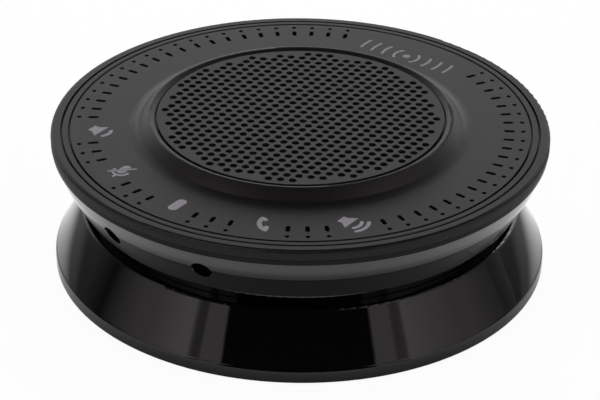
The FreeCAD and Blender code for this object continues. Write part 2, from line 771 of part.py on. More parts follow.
def microphone_gaskets():
    """Rubber rings that seal each microphone's slot to the board."""
    washer = disc(MIC_GASKET_R, TOUCH_TOP_Z, UNDER_Z)
    half = (SLOT_LENGTH - SLOT_WIDTH) / 2
    washer = washer.cut(bar(-half, 0, half, 0, SLOT_WIDTH + 0.3, TOUCH_Z, DECK_Z))
    return group(around(washer, SLOT_R, MIC_ANGLES))


def touch_board_screws():
    """Screws that hold the touch board to the deck."""
    one = screw(TOUCH_Z, UNDER_Z + 0.4)
    return group(around(one, TOUCH_SCREW_CIRCLE_R, TOUCH_SCREW_ANGLES))


def flex_cable():
    """Flat flexible cable from the touch board to the main board, bent in a C."""
    high, low, t = FLEX_TOP_Z, FLEX_LOW_Z, FLEX_T
    bend = (high - low) / 2
    middle = (high + low) / 2
    x = 51.0
    face = outline(
        (x, high),
        ((x + bend, middle), (x, low)),
        (x - 3, low),
        (x - 3, low - t),
        (x, low - t),
        ((x + bend + t, middle), (x, high + t)),
        (x - 1.5, high + t),
        (x - 1.5, high),
    )
    strip = face.extrude(FreeCAD.Vector(0, 8, 0))
    strip.translate(FreeCAD.Vector(0, -4, 0))
    return turned(strip, FLEX_ANGLE)


def flex_connectors():
    """Connectors that clamp the ends of the flexible cable."""
    upper = block(49.3, 51.2, 9.0, FLEX_TOP_Z + FLEX_T, TOUCH_Z)
    lower = block(47.5, 50.0, 9.0, MAIN_TOP_Z, FLEX_LOW_Z - FLEX_T)
    return group([turned(c, FLEX_ANGLE) for c in (upper, lower)])


# ---- main board ----
def main_board():
    """Ring-shaped circuit board on the housing floor."""
    board = ring(MAIN_IN_R, MAIN_OUT_R, MAIN_Z, MAIN_TOP_Z)
    cuts = around(drill(BOSS_R + BOSS_GAP), BOSS_CIRCLE_R, BOSS_ANGLES)
    cuts += around(drill(CLEAR_R), BOARD_SCREW_CIRCLE_R, BOARD_SCREW_ANGLES)
    return board.cut(cuts)


def main_board_screws():
    """Screws that hold the main board to the standoffs."""
    one = screw(MAIN_TOP_Z, FLOOR_TOP_Z - 1.4)
    return group(around(one, BOARD_SCREW_CIRCLE_R, BOARD_SCREW_ANGLES))


def board_chips():
    """Integrated circuits on the main board."""
    chips = []
    for angle, size in ((35, 7), (50, 5), (128, 6), (150, 4)):
        chip = block(-size / 2, size / 2, size, MAIN_TOP_Z, MAIN_TOP_Z + 1.0)
        chips += around(chip, 44.5, [angle])
    return group(chips)


def shield_can():
    """Pressed metal can over the radio."""
    outside = block(-7, 7, 15, MAIN_TOP_Z, MAIN_TOP_Z + 2.2)
    inside = block(-6.7, 6.7, 14.4, MAIN_TOP_Z - 1, MAIN_TOP_Z + 1.9)
    return around(outside.cut(inside), 43.5, [82])[0]


def wire_connectors():
    """Plug-in connectors for the loudspeaker's and the battery's leads."""
    body = block(-2, 2, 6, MAIN_TOP_Z, MAIN_TOP_Z + 3.5)
    return group(around(body, 38.0, [182, 358]))


# ---- loudspeaker ----
def speaker_gasket():
    """Foam ring between the loudspeaker and the deck."""
    gasket = ring(GASKET_IN_R, FLANGE_R, FLANGE_TOP_Z, SEAT_Z - SEAT_T)
    return gasket.cut(around(drill(CLEAR_R), SPEAKER_SCREW_CIRCLE_R, SPEAKER_SCREW_ANGLES))


def speaker_frame():
    """Pressed basket with a mounting flange and open vents."""
    under = FLANGE_TOP_Z - FLANGE_T
    floor_top = BASKET_FLOOR_Z + BASKET_T
    basket = spun(
        (ROLL_OUT_R - 0.4, FLANGE_TOP_Z),
        (ROLL_OUT_R - 0.4, under - 0.4),
        (BASKET_LOW_R - BASKET_T, SPIDER_SEAT_Z),
        (SPIDER_SEAT_R, SPIDER_SEAT_Z),
        (SPIDER_SEAT_R, floor_top),
        (GAP_R + 0.6, floor_top),
        (GAP_R + 0.6, BASKET_FLOOR_Z),
        (BASKET_LOW_R - 0.6, BASKET_FLOOR_Z),
        (BASKET_LOW_R, SPIDER_SEAT_Z - 1),
        (BASKET_TOP_R, under - 0.6),
        (BASKET_TOP_R, under),
        (FLANGE_R, under),
        (FLANGE_R, FLANGE_TOP_Z),
    )
    vent = block(BASKET_LOW_R - 1, RIM_R, 12, SPIDER_SEAT_Z + 0.8, under - 1.2)
    vents = [turned(vent, k * 360 / BASKET_VENTS) for k in range(BASKET_VENTS)]
    holes = around(drill(CLEAR_R), SPEAKER_SCREW_CIRCLE_R, SPEAKER_SCREW_ANGLES)
    return basket.cut(vents + holes)


def speaker_screws():
    """Screws up through the loudspeaker's flange into the deck."""
    one = screw(FLANGE_TOP_Z - FLANGE_T, SEAT_Z - SEAT_T + 1.5)
    return group(around(one, SPEAKER_SCREW_CIRCLE_R, SPEAKER_SCREW_ANGLES))


def speaker_top_plate():
    """Steel plate above the magnet, with the gap for the coil."""
    return ring(GAP_R, YOKE_R, BASKET_FLOOR_Z - YOKE_T, BASKET_FLOOR_Z)


def speaker_magnet():
    """Ring magnet."""
    top = BASKET_FLOOR_Z - YOKE_T
    return ring(GAP_R + 1.4, MAGNET_R, top - MAGNET_T, top)


def speaker_yoke():
    """Steel back plate and pole."""
    top = BASKET_FLOOR_Z - YOKE_T - MAGNET_T
    back = disc(YOKE_R, top - YOKE_T, top)
    pole = disc(POLE_R, top, BASKET_FLOOR_Z)
    return back.fuse(pole).removeSplitter()


def voice_coil():
    """Coil wound on its former."""
    former = ring(COIL_IN_R, COIL_FORMER_R, COIL_BOTTOM_Z, FORMER_TOP_Z)
    winding = ring(COIL_IN_R, COIL_R, COIL_BOTTOM_Z, COIL_TOP_Z - 1.5)
    return former.fuse(winding).removeSplitter()


def speaker_cone():
    """Paper cone from the coil former to the surround."""
    neck_r = COIL_FORMER_R + 0.05
    return spun(
        (neck_r, CONE_NECK_Z),
        (neck_r, CONE_NECK_Z - CONE_T),
        (neck_r + 0.8, CONE_NECK_Z - CONE_T),
        bowed((neck_r + 0.8, CONE_NECK_Z - CONE_T), (CONE_EDGE_R - 1.5, CONE_EDGE_Z - CONE_T), -0.5),
        (CONE_EDGE_R, CONE_EDGE_Z - CONE_T),
        (CONE_EDGE_R, CONE_EDGE_Z),
        (CONE_EDGE_R - 1.7, CONE_EDGE_Z),
        bowed((CONE_EDGE_R - 1.7, CONE_EDGE_Z), (neck_r + 0.6, CONE_NECK_Z), 0.5),
    )


def dust_cap():
    """Domed cap over the coil."""
    foot = CONE_NECK_Z + 1.0
    t = 0.35
    sphere_r = (CAP_R ** 2 + CAP_RISE ** 2) / (2 * CAP_RISE)
    centre = FreeCAD.Vector(0, 0, foot + CAP_RISE - sphere_r)
    dome = Part.makeSphere(sphere_r, centre).cut(Part.makeSphere(sphere_r - t, centre))
    return dome.common(disc(CAP_R, foot, foot + CAP_RISE + 1))


def cone_surround():
    """Rubber half roll between the cone and the basket, with flat lips."""
    r0 = CONE_EDGE_R
    r1 = ROLL_OUT_R
    mid = (r0 + r1) / 2
    low = CONE_EDGE_Z
    high = FLANGE_TOP_Z
    top = high + ROLL_RISE
    t = ROLL_T
    return spun(
        (r0 - 1.5, low),
        (r0 + 0.1, low),
        ((mid, top - t), (r1 - t, high)),
        (r1 + 1.6, high),
        (r1 + 1.6, high + t),
        (r1, high + t),
        ((mid, top), (r0 - 0.2, low + t)),
        (r0 - 1.5, low + t),
    )


def spider():
    """Corrugated ring that centres the coil."""
    waves = 4
    r0 = COIL_FORMER_R + 0.05
    r1 = BASKET_LOW_R - BASKET_T - 0.2
    r_flat = SPIDER_SEAT_R - 0.2
    base = SPIDER_SEAT_Z
    pitch = (r_flat - r0 - 1.0) / waves
    lift = 0.5
    steps_low = []
    steps_high = []
    for k in range(waves):
        a = r0 + 1.0 + k * pitch
        rise = lift if k % 2 else -lift
        steps_low.append(((a + pitch / 2, base + rise), (a + pitch, base)))
        steps_high.insert(0, ((a + pitch / 2, base + SPIDER_T + rise), (a, base + SPIDER_T)))
    return spun(
        (r0, base),
        (r0 + 1.0, base),
        *steps_low,
        (r1, base),
        (r1, base + SPIDER_T),
        (r_flat, base + SPIDER_T),
        *steps_high,
        (r0, base + SPIDER_T),
    )


def speaker_leads():
    """Pair of leads from the basket to the main board."""
    leads = []
    end_z = MAIN_TOP_Z + 3.6
    for y in (-1.2, 1.2):
        points = [(33.1, y, 34.8), (34.6, y, 34.7), (37.6, y, 32.8), (38, y, 31.0), (38, y, end_z)]
        leads.append(cable(points, 0.55))
    return group([turned(lead, -2) for lead in leads])


def speaker_terminal():
    """Terminal strip under the basket's flange."""
    under = FLANGE_TOP_Z - FLANGE_T
    return turned(block(31.0, 33.0, 6, under - 2.0, under), -2)


def battery_leads():
    """Pair of leads from the battery up to the main board."""
    end_z = MAIN_TOP_Z + 3.6
    start_x = -BATTERY_X / 2 - 0.25
    leads = []
    for y in (-1.2, 1.2):
        points = [(start_x, y, 7), (start_x - 1.3, y, 7.1), (-28.3, y, 10), (-26.6, y, 20)]
        points += [(-28.6, y, 29.5), (-34, y, 32.6), (-37.6, y, 31.6), (-38, y, end_z)]
        leads.append(cable(points, 0.55))
    return group([turned(lead, 2) for lead in leads])


NODES = {
    "base_shell": base_shell,
    "base_plate": base_plate,
    "foot_ring": foot_ring,
    "base_plate_screws": base_plate_screws,
    "base_screws": base_screws,
    "battery_pack": battery_pack,
    "battery_pad": battery_pad,
    "lower_housing": lower_housing,
    "housing_screws": housing_screws,
    "audio_jack": audio_jack,
    "power_jack": power_jack,
    "power_jack_pin": power_jack_pin,
    "top_cover": top_cover,
    "trim_ring": trim_ring,
    "speaker_grille": speaker_grille,
    "grille_cloth": grille_cloth,
    "touch_adhesive": touch_adhesive,
    "touch_board": touch_board,
    "light_guides": light_guides,
    "indicator_leds": indicator_leds,
    "microphones": microphones,
    "microphone_gaskets": microphone_gaskets,
    "touch_board_screws": touch_board_screws,
    "flex_cable": flex_cable,
    "flex_connectors": flex_connectors,
    "main_board": main_board,
    "main_board_screws": main_board_screws,
    "board_chips": board_chips,
    "shield_can": shield_can,
    "wire_connectors": wire_connectors,
    "speaker_gasket": speaker_gasket,
    "speaker_frame": speaker_frame,
    "speaker_screws": speaker_screws,
    "speaker_top_plate": speaker_top_plate,
    "speaker_magnet": speaker_magnet,
    "speaker_yoke": speaker_yoke,
    "voice_coil": voice_coil,
    "speaker_cone": speaker_cone,
    "dust_cap": dust_cap,
    "cone_surround": cone_surround,
    "spider": spider,
    "speaker_leads": speaker_leads,
    "speaker_terminal": speaker_terminal,
    "battery_leads": battery_leads,
}


def main():
    os.makedirs("parts", exist_ok=True)
    shapes = {name: build() for name, build in NODES.items()}
    for name, solids in legends().items():
        shapes[name] = group(solids)
    for name, shape in shapes.items():
        shape.exportStep("parts/" + name + ".step")


main()
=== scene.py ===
import json
import math

import bmesh
import bpy
from mathutils import Matrix, Vector


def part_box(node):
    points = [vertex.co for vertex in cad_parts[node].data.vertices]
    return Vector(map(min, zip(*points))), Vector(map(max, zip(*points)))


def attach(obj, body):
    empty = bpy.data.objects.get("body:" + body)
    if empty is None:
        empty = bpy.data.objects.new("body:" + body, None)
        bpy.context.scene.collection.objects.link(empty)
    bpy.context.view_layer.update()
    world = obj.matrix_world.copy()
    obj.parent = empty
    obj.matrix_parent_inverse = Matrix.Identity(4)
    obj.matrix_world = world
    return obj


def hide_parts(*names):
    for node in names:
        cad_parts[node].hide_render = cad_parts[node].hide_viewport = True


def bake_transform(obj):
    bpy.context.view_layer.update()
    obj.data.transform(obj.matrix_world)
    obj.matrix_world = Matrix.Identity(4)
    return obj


# Looks of the conference speakerphone. Lengths in the shapes are millimetres in the frame of
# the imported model; the front of the object (the status light) is at 270 degrees.

MM = 0.001

# Outputs of shader nodes that are asked for by their place
RESULT_RGBA = 2
VECTOR_VALUE = 1
WAVE_FAC = 1
BACKFACING = 6

# Length of one sine band of a wave texture at scale 1
WAVE_PERIOD = 2 * math.pi / 20

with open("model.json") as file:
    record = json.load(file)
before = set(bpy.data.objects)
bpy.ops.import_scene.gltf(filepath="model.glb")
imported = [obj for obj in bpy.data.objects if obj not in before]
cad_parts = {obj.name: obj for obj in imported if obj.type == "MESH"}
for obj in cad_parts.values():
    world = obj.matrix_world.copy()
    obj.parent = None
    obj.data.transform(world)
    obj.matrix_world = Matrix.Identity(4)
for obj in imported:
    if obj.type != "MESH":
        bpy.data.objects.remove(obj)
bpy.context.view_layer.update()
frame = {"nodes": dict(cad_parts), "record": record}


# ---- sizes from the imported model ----
def node_box(name):
    """Lowest and highest corner of a CAD node in millimetres."""
    low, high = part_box(name)
    return low / MM, high / MM


# ---- node trees ----
class Nodes:
    """Short calls that add nodes to a node tree and link them."""

    def __init__(self, tree):
        self.nodes = tree.nodes
        self.links = tree.links

    def fill(self, node, inputs):
        """Sets or links a node's inputs; Base_Color stands for the input Base Color."""
        for key, value in inputs.items():
            socket = node.inputs[int(key[1:]) if key[0] == "_" else key.replace("_", " ")]
            if isinstance(value, bpy.types.NodeSocket):
                self.links.new(value, socket)
            elif isinstance(value, tuple) and len(value) == 3 and socket.type == "RGBA":
                socket.default_value = (*value, 1)
            else:
                socket.default_value = value

    def add(self, kind, output=0, settings=None, **inputs):
        """Adds a node and returns one of its outputs."""
        node = self.nodes.new("ShaderNode" + kind)
        for key, value in (settings or {}).items():
            setattr(node, key, value)
        self.fill(node, inputs)
        return node.outputs[output]

    def math(self, operation, a, b=0.0, c=0.0):
        """Arithmetic on up to three numbers."""
        return self.add("Math", settings={"operation": operation}, _0=a, _1=b, _2=c)

    def dot(self, a, b):
        """Dot product of two vectors."""
        return self.add("VectorMath", VECTOR_VALUE, {"operation": "DOT_PRODUCT"}, _0=a, _1=b)

    def between(self, factor, a, b):
        """Mixes two numbers."""
        return self.add("Mix", 0, {"data_type": "FLOAT"}, _0=factor, _2=a, _3=b)

    def mix(self, factor, a, b):
        """Mixes two colours."""
        return self.add("Mix", RESULT_RGBA, {"data_type": "RGBA"}, _0=factor, _6=a, _7=b)

    def ramp(self, value, start, end, low, high):
        """Eases from one level to another."""
        inputs = {"Value": value, "From_Min": start, "From_Max": end, "To_Min": low, "To_Max": high}
        return self.add("MapRange", settings={"interpolation_type": "SMOOTHSTEP"}, **inputs)

    def stops(self, value, levels):
        """Straight lines through (value from 0 to 1, level) pairs, 32 of them at most."""
        node = self.nodes.new("ShaderNodeValToRGB")
        self.links.new(value, node.inputs[0])
        elements = node.color_ramp.elements
        for element, (place, level) in zip(elements, (levels[0], levels[-1])):
            element.position = place
            element.color = (level, level, level, 1)
        for place, level in levels[1:-1]:
            elements.new(place).color = (level, level, level, 1)
        return node.outputs[0]


class Shader(Nodes):
    """A material's node tree with its main shader."""

    def __init__(self, name, **inputs):
        self.material = bpy.data.materials.new(name)
        self.material.use_nodes = True
        super().__init__(self.material.node_tree)
        self.main = self.nodes["Principled BSDF"]
        self.place = self.nodes.new("ShaderNodeTexCoord").outputs["Object"]
        self.fill(self.main, inputs)

    def stretched(self, x, y, z):
        """Object coordinates scaled along each axis."""
        return self.add("Mapping", Vector=self.place, Scale=(x, y, z))

    def noise(self, size, detail=2.0, roughness=0.5, vector=None):
        """Soft noise with blobs of about this size in millimetres."""
        scale = 1 / (size * MM)
        return self.add(
            "TexNoise", Vector=vector or self.place, Scale=scale, Detail=detail, Roughness=roughness
        )

    def cells(self, size, feature="F1"):
        """Cellular pattern with cells of about this size in millimetres."""
        settings = {"feature": feature}
        return self.add("TexVoronoi", settings=settings, Vector=self.place, Scale=1 / (size * MM))

    def bands(self, pitch, axis):
        """Even sine bands across an axis, with a pitch in millimetres."""
        settings = {"wave_type": "BANDS", "bands_direction": axis, "wave_profile": "SIN"}
        scale = WAVE_PERIOD / (pitch * MM)
        return self.add("TexWave", WAVE_FAC, settings, Vector=self.place, Scale=scale)

    def spread(self, value, low, high, start=0.3, end=0.7):
        """Maps a pattern between two levels."""
        inputs = {"Value": value, "From_Min": start, "From_Max": end, "To_Min": low, "To_Max": high}
        return self.add("MapRange", **inputs)

    def relief(self, height, depth):
        """Bump of a depth in millimetres on the main shader."""
        normal = self.add("Bump", Height=height, Distance=depth * MM, Strength=1.0)
        self.fill(self.main, {"Normal": normal})


def tone(color, factor):
    """A colour made darker or lighter by a factor."""
    return tuple(c * factor for c in color)


def moulded(name, color, rough, grain, depth, drift=0.12, **inputs):
    """Moulded plastic or rubber: fine grain, slow drift of colour and of gloss."""
    s = Shader(name, **inputs)
    slow = s.noise(14.0, 3.0)
    s.fill(s.main, {"Base_Color": s.mix(slow, tone(color, 1 - drift), tone(color, 1 + drift))})
    swing = drift / 3
    s.fill(s.main, {"Roughness": s.spread(s.noise(2.5, 4.0), rough - swing, rough + swing)})
    s.relief(s.noise(grain, 3.0, 0.6), depth)
    return s


def polished(name, ior):
    """Polished black moulding: faint orange peel, faint smears in the gloss."""
    s = Shader(name, Base_Color=(0.003, 0.003, 0.0032), IOR=ior)
    smear = s.noise(9.0, 4.0, 0.6, s.stretched(1, 1, 0.35))
    s.fill(s.main, {"Roughness": s.spread(smear, 0.02, 0.05)})
    s.relief(s.noise(3.0, 1.0), 0.0012)
    return s


def gloss_shell():
    return polished("gloss_shell", 1.5)


def gloss_wall():
    """The housing's wall has a slightly harder shine than the base."""
    return polished("gloss_wall", 1.6)


def deck_plastic():
    """Matte charcoal moulding with a fine eroded texture."""
    return moulded("deck_plastic", (0.0235, 0.021, 0.0255), 0.45, 0.16, 0.006, 0.03)


def grille_paint():
    """Matte powder coat."""
    return moulded("grille_paint", (0.041, 0.0365, 0.043), 0.48, 0.28, 0.008, 0.03)


def acoustic_cloth():
    """Black open weave."""
    s = Shader("acoustic_cloth", Roughness=0.9, Sheen_Weight=0.2)
    weave = s.math("MULTIPLY", s.bands(0.35, "X"), s.bands(0.35, "Y"))
    s.fill(s.main, {"Base_Color": s.mix(weave, (0.001, 0.001, 0.001), (0.008, 0.008, 0.008))})
    s.relief(weave, 0.08)
    return s


def inlay(name, color):
    """Pale translucent legend, slightly mottled."""
    return moulded(
        name, color, 0.45, 0.2, 0.003, 0.06, Subsurface_Weight=0.15, Subsurface_Scale=0.5 * MM
    )


def legend_print():
    return inlay("legend_print", (0.8, 0.775, 0.86))


def rear_print():
    return inlay("rear_print", (0.68, 0.655, 0.73))


def black_plastic():
    return moulded("black_plastic", (0.014, 0.014, 0.0145), 0.42, 0.3, 0.012, 0.1)


def foot_rubber():
    return moulded("foot_rubber", (0.012, 0.012, 0.012), 0.78, 0.22, 0.02, 0.15, Sheen_Weight=0.15)


def foam():
    """Closed-cell foam: small open bubbles at the cut face."""
    s = Shader("foam", Roughness=0.95)
    bubbles = s.cells(0.45)
    s.fill(s.main, {"Base_Color": s.mix(bubbles, (0.008, 0.008, 0.008), (0.035, 0.035, 0.036))})
    s.relief(bubbles, 0.15)
    return s


def metal(name, color, rough, pull, depth=0.004):
    """Metal with a brushed or drawn finish along one axis."""
    s = Shader(name, Metallic=1.0, Base_Color=color)
    lines = s.noise(0.4, 5.0, 0.7, s.stretched(*pull))
    s.fill(s.main, {"Roughness": s.spread(lines, rough - 0.08, rough + 0.1)})
    s.relief(lines, depth)
    return s


def screw_steel():
    return metal("screw_steel", (0.46, 0.46, 0.45), 0.35, (1, 1, 0.15))


def plated_steel():
    return metal("plated_steel", (0.5, 0.5, 0.47), 0.3, (0.1, 1, 1))


def contact_metal():
    return metal("contact_metal", (0.75, 0.55, 0.25), 0.22, (1, 1, 0.3), 0.002)


def magnet():
    return moulded("magnet", (0.03, 0.03, 0.033), 0.6, 0.35, 0.03, 0.2)


def copper_coil():
    """Enamelled wire, wound in fine turns."""
    s = Shader("copper_coil", Metallic=0.9, Coat_Weight=0.6, Roughness=0.3)
    turns = s.bands(0.22, "Z")
    s.fill(s.main, {"Base_Color": s.mix(turns, (0.16, 0.05, 0.02), (0.62, 0.26, 0.1))})
    s.relief(turns, 0.06)
    return s


def circuit_board():
    """Green solder mask over copper traces, with tinned pads."""
    s = Shader("circuit_board", Roughness=0.28, Coat_Weight=0.3)
    trace = s.spread(s.cells(3.2, "DISTANCE_TO_EDGE"), 1.0, 0.0, 0.04, 0.07)
    pads = s.spread(s.cells(4.6), 1.0, 0.0, 0.10, 0.13)
    mask = s.mix(trace, (0.004, 0.045, 0.018), (0.012, 0.11, 0.04))
    s.fill(s.main, {"Base_Color": s.mix(pads, mask, (0.6, 0.58, 0.52)), "Metallic": pads})
    s.relief(trace, 0.03)
    return s


def chip_black():
    return moulded("chip_black", (0.012, 0.012, 0.013), 0.55, 0.12, 0.006, 0.2)


def connector_plastic():
    return moulded(
        "connector_plastic", (0.62, 0.58, 0.48), 0.4, 0.5, 0.006, 0.06, Subsurface_Weight=0.2
    )


def clear_guide():
    """Milky light guide."""
    milky = {"Transmission_Weight": 0.35, "IOR": 1.49}
    return moulded("clear_guide", (0.72, 0.73, 0.74), 0.25, 0.6, 0.003, 0.03, **milky)


def lamp_white():
    """White lamp package with a yellow phosphor window."""
    s = Shader("lamp_white", Roughness=0.4)
    glow = s.spread(s.cells(1.6), 1.0, 0.0, 0.2, 0.4)
    s.fill(s.main, {"Base_Color": s.mix(glow, (0.75, 0.75, 0.72), (0.75, 0.6, 0.12))})
    s.relief(s.noise(0.3), 0.01)
    return s


def flex_film():
    """Amber film with copper lines under it."""
    s = Shader("flex_film", Roughness=0.25, Coat_Weight=0.4)
    lines = s.spread(s.bands(0.8, "X"), 0.0, 1.0, 0.45, 0.55)
    s.fill(s.main, {"Base_Color": s.mix(lines, (0.32, 0.12, 0.015), (0.55, 0.27, 0.06))})
    s.relief(lines, 0.02)
    return s


def battery_wrap():
    """Shrink wrap, slightly crinkled at the folds."""
    s = Shader("battery_wrap", Coat_Weight=0.5, Roughness=0.3)
    folds = s.noise(6.0, 4.0, 0.7, s.stretched(0.3, 1, 1))
    s.fill(s.main, {"Base_Color": s.mix(folds, (0.03, 0.05, 0.12), (0.06, 0.09, 0.2))})
    s.relief(folds, 0.12)
    return s


def lead_wire():
    return moulded("lead_wire", (0.03, 0.028, 0.028), 0.38, 0.5, 0.01, 0.1)


def cone_paper():
    """Pressed paper pulp: fibres lying every way."""
    s = Shader("cone_paper", Roughness=0.85, Sheen_Weight=0.1)
    along = s.noise(0.5, 5.0, 0.8, s.stretched(0.2, 1, 1))
    across = s.noise(0.5, 5.0, 0.8, s.stretched(1, 0.2, 1))
    pulp = s.math("ADD", s.math("MULTIPLY", along, 0.5), s.math("MULTIPLY", across, 0.5))
    s.fill(s.main, {"Base_Color": s.mix(pulp, (0.012, 0.012, 0.012), (0.05, 0.048, 0.045))})
    s.relief(pulp, 0.1)
    return s


def surround_rubber():
    return moulded("surround_rubber", (0.01, 0.01, 0.01), 0.5, 0.8, 0.01, 0.15)


def spider_cloth():
    """Treated weave, stiff and tan."""
    s = Shader("spider_cloth", Roughness=0.75)
    weave = s.math("MULTIPLY", s.bands(0.5, "X"), s.bands(0.5, "Y"))
    s.fill(s.main, {"Base_Color": s.mix(weave, (0.2, 0.13, 0.035), (0.5, 0.38, 0.15))})
    s.relief(weave, 0.1)
    return s


MATERIALS = {
    make.__name__: make().material
    for make in (
        gloss_shell, gloss_wall, deck_plastic, grille_paint, acoustic_cloth, legend_print,
        rear_print, black_plastic, foot_rubber, foam, screw_steel, plated_steel, contact_metal,
        magnet, copper_coil, circuit_board, chip_black, connector_plastic, clear_guide, lamp_white,
        flex_film, battery_wrap, lead_wire, cone_paper, surround_rubber, spider_cloth,
    )
}

# CAD nodes whose finish is a variant of their slot's
OWN_FINISH = {"lower_housing": "gloss_wall"}


def dress_cad_nodes():
    """Gives every CAD node the material of its slot, or its own variant of it."""
    for subpart in frame["record"]["subparts"]:
        node = subpart["node"]
        mesh = frame["nodes"][node].data
        mesh.materials.clear()
        mesh.materials.append(MATERIALS[OWN_FINISH.get(node, subpart["material_slot"])])


dress_cad_nodes()


# ---- soft pieces ----
def new_piece(name, bm, node, slot):
    """Object from a bmesh in millimetres that stands for a CAD node and takes its finish."""
    bmesh.ops.recalc_face_normals(bm, faces=bm.faces)
    mesh = bpy.data.meshes.new(name)
    bm.to_mesh(mesh)
    bm.free()
    mesh.transform(Matrix.Scale(MM, 4))
    mesh.shade_smooth()
    mesh.materials.append(MATERIALS[slot])
    piece = bpy.data.objects.new(name, mesh)
    bpy.context.scene.collection.objects.link(piece)
    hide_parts(node)
    return piece


def lathe(profile, segments=192):
    """Ring of revolution round +Z from a closed profile of (radius, height) points."""
    bm = bmesh.new()
    spokes = []
    for i in range(segments):
        a = 2 * math.pi * i / segments
        spokes.append([bm.verts.new((r * math.cos(a), r * math.sin(a), z)) for r, z in profile])
    for i, here in enumerate(spokes):
        after = spokes[(i + 1) % segments]
        for k in range(len(profile)):
            n = (k + 1) % len(profile)
            bm.faces.new((here[k], after[k], after[n], here[n]))
    return bm


def thick(line, thickness):
    """Closed profile of a sheet whose underside follows a line of points, with round edges."""
    over = [(r, z + thickness) for r, z in reversed(line)]
    bulge = thickness / 3
    inner, outer = line[0], line[-1]
    tip_out = (outer[0] + bulge, outer[1] + thickness / 2)
    tip_in = (inner[0] - bulge, inner[1] + thickness / 2)
    return line + [tip_out] + over + [tip_in]


def bend_outwards(piece, r_moving, r_fixed):
    """Bakes a piece's transform into its mesh; each vertex's share of the way between the two radii
    is worked out but not used.
    """
    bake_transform(piece)
    for vertex in piece.data.vertices:
        t = (vertex.co.xy.length / MM - r_moving) / (r_fixed - r_moving)
        t = min(max(t, 0.0), 1.0)


ROLL_T = 0.4
ROLL_LIP = 1.5
ROLL_INNER_LIP_R = 24.3
ROLL_FOOT = 0.5  # from the inner lip's radius to the roll's first point
ROLL_CLEARANCE = 0.2
ROLL_LEAN = 0.25  # share of the step between the lips that the roll's crown makes up
ROLL_RUN_OUT = 0.3
ROLL_STEPS = 24


def surround():
    """Rubber half roll with flat lips, glued to the cone and to the basket."""
    low, high = node_box("cone_surround")
    r_out = high.x - ROLL_CLEARANCE
    r_in = ROLL_INNER_LIP_R - ROLL_LIP + 2 * ROLL_CLEARANCE
    seat = low.z
    rim = node_box("speaker_frame")[1].z
    rise = high.z - ROLL_T - rim + (rim - seat) * ROLL_LEAN
    roll_in, roll_out = ROLL_INNER_LIP_R + ROLL_FOOT, r_out - ROLL_LIP
    line = [(r_in, seat), (roll_in - ROLL_RUN_OUT, seat)]
    for k in range(ROLL_STEPS + 1):
        t = k / ROLL_STEPS
        r = roll_in + (roll_out - roll_in) * (0.5 - 0.5 * math.cos(math.pi * t))
        line.append((r, seat + (rim - seat) * t + rise * math.sin(math.pi * t)))
    line += [(roll_out + ROLL_RUN_OUT, rim), (r_out, rim)]
    roll = lathe(thick(line, ROLL_T))
    piece = new_piece("surround_roll", roll, "cone_surround", "surround_rubber")
    bend_outwards(piece, roll_in, roll_out)


SPIDER_T = 0.35
SPIDER_GLUED = 0.45
SPIDER_CLEARANCE = 0.15
SPIDER_INNER_FLAT = 1.0
SPIDER_OUTER_FLAT = 1.6
SPIDER_WAVES = 4
SPIDER_WAVE_STEPS = 12


def spider():
    """Corrugated cloth ring that centres the coil."""
    low, high = node_box("spider")
    r_in = node_box("voice_coil")[1].x - SPIDER_GLUED
    r_out = high.x - SPIDER_CLEARANCE
    middle = (low.z + high.z - SPIDER_T) / 2
    swing = (high.z - low.z - SPIDER_T) / 2
    wave_in, wave_out = r_in + SPIDER_INNER_FLAT, r_out - SPIDER_OUTER_FLAT
    steps = SPIDER_WAVES * SPIDER_WAVE_STEPS
    line = [(r_in, middle)]
    for k in range(steps + 1):
        t = k / steps
        wave = math.sin(math.pi * SPIDER_WAVES * t) * swing
        line.append((wave_in + (wave_out - wave_in) * t, middle - wave))
    line.append((r_out, middle))
    piece = new_piece("spider_weave", lathe(thick(line, SPIDER_T)), "spider", "spider_cloth")
    bend_outwards(piece, wave_in, wave_out)


THREAD_PITCH = 1.0
THREAD_RISE = 0.05
THREAD_SINK = 1.5 * THREAD_RISE  # mean depth of the sheet's face below the cloth's top
CLOTH_STEP = 0.25
CLOTH_SHARE = 0.6  # of the CAD cloth's thickness


def grille_sheet():
    """Acoustic cloth as a woven sheet: threads go over and under each other."""
    low, high = node_box("grille_cloth")
    radius = high.x
    reach = int(radius / CLOTH_STEP)
    bm = bmesh.new()
    verts = {}
    for i in range(-reach, reach + 1):
        for j in range(-reach, reach + 1):
            x, y = i * CLOTH_STEP, j * CLOTH_STEP
            if math.hypot(x, y) <= radius:
                over = math.cos(math.pi * x / THREAD_PITCH) * math.cos(math.pi * y / THREAD_PITCH)
                verts[i, j] = bm.verts.new((x, y, high.z - THREAD_SINK + THREAD_RISE * over))
    for i, j in verts:
        square = [verts.get(key) for key in ((i, j), (i + 1, j), (i + 1, j + 1), (i, j + 1))]
        if all(square):
            bm.faces.new(square)
    sheet = new_piece("grille_weave", bm, "grille_cloth", "acoustic_cloth")
    solid = sheet.modifiers.new("thickness", "SOLIDIFY")
    solid.thickness = (high.z - low.z) * CLOTH_SHARE * MM
    solid.offset = -1
    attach(sheet, "housing")


surround()
spider()
grille_sheet()


# ---- stage ----
CAMERA_AT = (0.33334, -0.46819, 0.34188)
CAMERA_TURN = 35.43
CAMERA_TILT = 29.60
CAMERA_ROLL = 0.57
LENS = 147.1
IMAGE_SHIFT = (-0.0009, 0.0011)
CAMERA_BEARING = math.degrees(math.atan2(CAMERA_AT[1], CAMERA_AT[0]))


